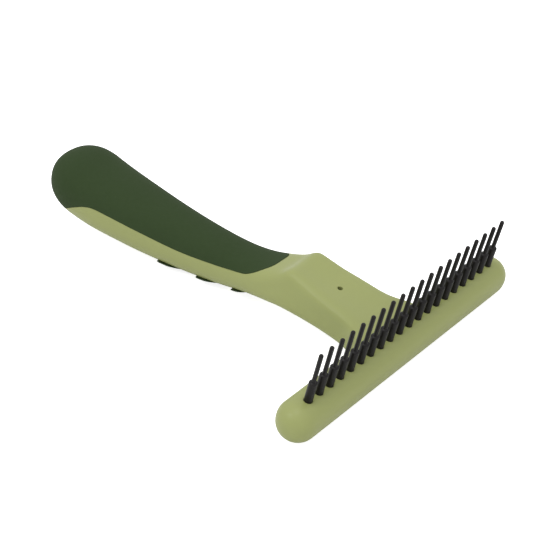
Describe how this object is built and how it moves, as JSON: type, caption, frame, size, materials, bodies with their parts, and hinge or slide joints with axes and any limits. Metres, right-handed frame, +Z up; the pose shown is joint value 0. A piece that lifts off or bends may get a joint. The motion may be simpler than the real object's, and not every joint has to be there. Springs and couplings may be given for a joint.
{
  "type": "undercoat rake",
  "caption": "T-shaped undercoat rake for dogs: one row of stepped, free-turning pins on a bar head, dark rubber grip over a light green moulded handle.",
  "frame": {"origin": "middle of the flat back of the head, on the outer face of the back cover", "axes": "the tool lies on its back on a table: +Y runs from the head to the butt of the handle, +X along the row of pins, +Z up. The pins lean 14 degrees from +Z towards -Y"},
  "size_m": [0.1022, 0.1367, 0.0276],
  "materials": {
    "light_green_plastic": "satin",
    "dark_green_rubber": "matte",
    "black_coated_steel": "satin"
  },
  "bodies": {
    "tool": {"body": "light_green_plastic", "head_back_cover": "light_green_plastic", "grip": "dark_green_rubber", "finger_pad_1": "dark_green_rubber", "finger_pad_2": "dark_green_rubber", "finger_pad_3": "dark_green_rubber"},
    "pin_01_turning": {"pin_01": "black_coated_steel"},
    "pin_02_turning": {"pin_02": "black_coated_steel"},
    "pin_03_turning": {"pin_03": "black_coated_steel"},
    "pin_04_turning": {"pin_04": "black_coated_steel"},
    "pin_05_turning": {"pin_05": "black_coated_steel"},
    "pin_06_turning": {"pin_06": "black_coated_steel"},
    "pin_07_turning": {"pin_07": "black_coated_steel"},
    "pin_08_turning": {"pin_08": "black_coated_steel"},
    "pin_09_turning": {"pin_09": "black_coated_steel"},
    "pin_10_turning": {"pin_10": "black_coated_steel"},
    "pin_11_turning": {"pin_11": "black_coated_steel"},
    "pin_12_turning": {"pin_12": "black_coated_steel"},
    "pin_13_turning": {"pin_13": "black_coated_steel"},
    "pin_14_turning": {"pin_14": "black_coated_steel"},
    "pin_15_turning": {"pin_15": "black_coated_steel"},
    "pin_16_turning": {"pin_16": "black_coated_steel"},
    "pin_17_turning": {"pin_17": "black_coated_steel"},
    "pin_18_turning": {"pin_18": "black_coated_steel"},
    "pin_19_turning": {"pin_19": "black_coated_steel"},
    "pin_20_turning": {"pin_20": "black_coated_steel"}
  },
  "joints": [
    {"name": "pin_01_turn", "type": "hinge", "parent": "tool", "child": "pin_01_turning", "pos_m": [-0.04275, -0.00277, 0.01109], "axis": [0, -0.2419, 0.9703], "continuous": true},
    {"name": "pin_02_turn", "type": "hinge", "parent": "tool", "child": "pin_02_turning", "pos_m": [-0.03825, -0.00277, 0.01109], "axis": [0, -0.2419, 0.9703], "continuous": true},
    {"name": "pin_03_turn", "type": "hinge", "parent": "tool", "child": "pin_03_turning", "pos_m": [-0.03375, -0.00277, 0.01109], "axis": [0, -0.2419, 0.9703], "continuous": true},
    {"name": "pin_04_turn", "type": "hinge", "parent": "tool", "child": "pin_04_turning", "pos_m": [-0.02925, -0.00277, 0.01109], "axis": [0, -0.2419, 0.9703], "continuous": true},
    {"name": "pin_05_turn", "type": "hinge", "parent": "tool", "child": "pin_05_turning", "pos_m": [-0.02475, -0.00277, 0.01109], "axis": [0, -0.2419, 0.9703], "continuous": true},
    {"name": "pin_06_turn", "type": "hinge", "parent": "tool", "child": "pin_06_turning", "pos_m": [-0.02025, -0.00277, 0.01109], "axis": [0, -0.2419, 0.9703], "continuous": true},
    {"name": "pin_07_turn", "type": "hinge", "parent": "tool", "child": "pin_07_turning", "pos_m": [-0.01575, -0.00277, 0.01109], "axis": [0, -0.2419, 0.9703], "continuous": true},
    {"name": "pin_08_turn", "type": "hinge", "parent": "tool", "child": "pin_08_turning", "pos_m": [-0.01125, -0.00277, 0.01109], "axis": [0, -0.2419, 0.9703], "continuous": true},
    {"name": "pin_09_turn", "type": "hinge", "parent": "tool", "child": "pin_09_turning", "pos_m": [-0.00675, -0.00277, 0.01109], "axis": [0, -0.2419, 0.9703], "continuous": true},
    {"name": "pin_10_turn", "type": "hinge", "parent": "tool", "child": "pin_10_turning", "pos_m": [-0.00225, -0.00277, 0.01109], "axis": [0, -0.2419, 0.9703], "continuous": true},
    {"name": "pin_11_turn", "type": "hinge", "parent": "tool", "child": "pin_11_turning", "pos_m": [0.00225, -0.00277, 0.01109], "axis": [0, -0.2419, 0.9703], "continuous": true},
    {"name": "pin_12_turn", "type": "hinge", "parent": "tool", "child": "pin_12_turning", "pos_m": [0.00675, -0.00277, 0.01109], "axis": [0, -0.2419, 0.9703], "continuous": true},
    {"name": "pin_13_turn", "type": "hinge", "parent": "tool", "child": "pin_13_turning", "pos_m": [0.01125, -0.00277, 0.01109], "axis": [0, -0.2419, 0.9703], "continuous": true},
    {"name": "pin_14_turn", "type": "hinge", "parent": "tool", "child": "pin_14_turning", "pos_m": [0.01575, -0.00277, 0.01109], "axis": [0, -0.2419, 0.9703], "continuous": true},
    {"name": "pin_15_turn", "type": "hinge", "parent": "tool", "child": "pin_15_turning", "pos_m": [0.02025, -0.00277, 0.01109], "axis": [0, -0.2419, 0.9703], "continuous": true},
    {"name": "pin_16_turn", "type": "hinge", "parent": "tool", "child": "pin_16_turning", "pos_m": [0.02475, -0.00277, 0.01109], "axis": [0, -0.2419, 0.9703], "continuous": true},
    {"name": "pin_17_turn", "type": "hinge", "parent": "tool", "child": "pin_17_turning", "pos_m": [0.02925, -0.00277, 0.01109], "axis": [0, -0.2419, 0.9703], "continuous": true},
    {"name": "pin_18_turn", "type": "hinge", "parent": "tool", "child": "pin_18_turning", "pos_m": [0.03375, -0.00277, 0.01109], "axis": [0, -0.2419, 0.9703], "continuous": true},
    {"name": "pin_19_turn", "type": "hinge", "parent": "tool", "child": "pin_19_turning", "pos_m": [0.03825, -0.00277, 0.01109], "axis": [0, -0.2419, 0.9703], "continuous": true},
    {"name": "pin_20_turn", "type": "hinge", "parent": "tool", "child": "pin_20_turning", "pos_m": [0.04275, -0.00277, 0.01109], "axis": [0, -0.2419, 0.9703], "continuous": true}
  ]
}
